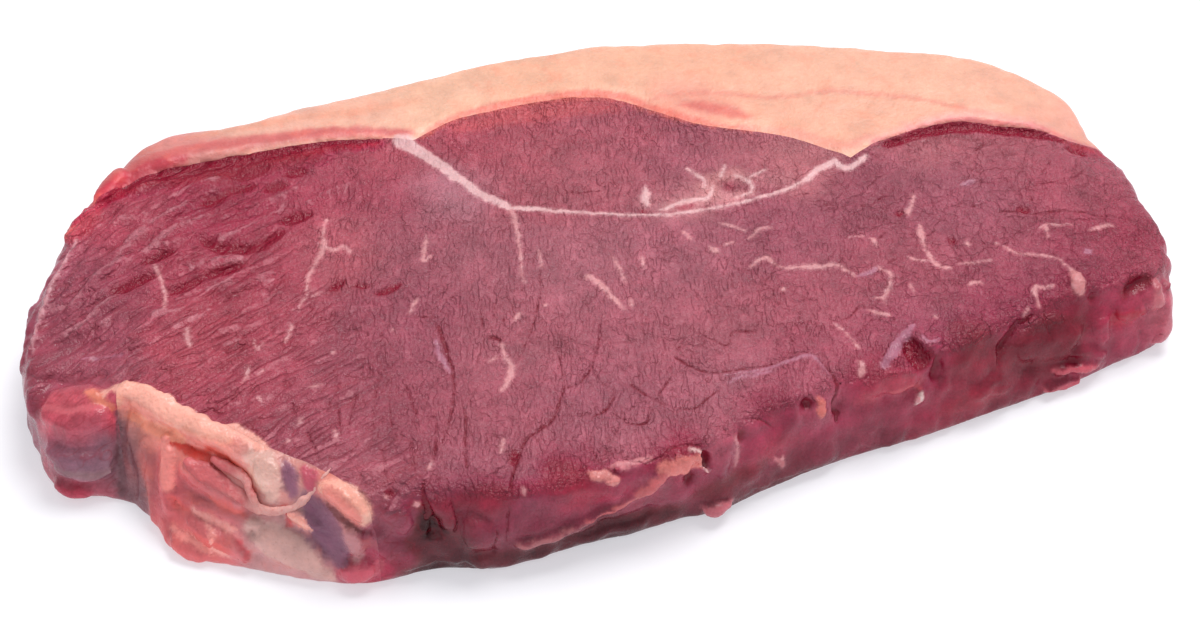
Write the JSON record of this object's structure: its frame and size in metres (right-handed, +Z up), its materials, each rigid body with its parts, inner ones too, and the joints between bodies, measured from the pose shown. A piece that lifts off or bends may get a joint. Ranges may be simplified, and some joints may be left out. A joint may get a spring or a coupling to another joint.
{
  "type": "raw sirloin steak",
  "caption": "Thick raw sirloin steak lying flat, with a cap of back fat, a lens of cap muscle under it, and a fat and sinew patch at one front corner.",
  "frame": {"origin": "middle of the box's bottom, on the surface that the steak lies on", "axes": "+Z up out of the shown cut face, X along the steak's length, +Y towards the fat cap"},
  "size_m": [0.231, 0.1262, 0.0224],
  "materials": {
    "lean": "moist cut muscle, satin to glossy, soft light inside",
    "cap_muscle": "moist cut muscle with fine marbling, satin to glossy",
    "fat_cap": "firm peach fat, satin",
    "front_fat": "soft fat, membrane and silverskin, moist"
  },
  "bodies": {
    "root": {"lean": "lean", "cap_muscle": "cap_muscle", "fat_cap": "fat_cap", "front_fat": "front_fat"}
  },
  "joints": []
}
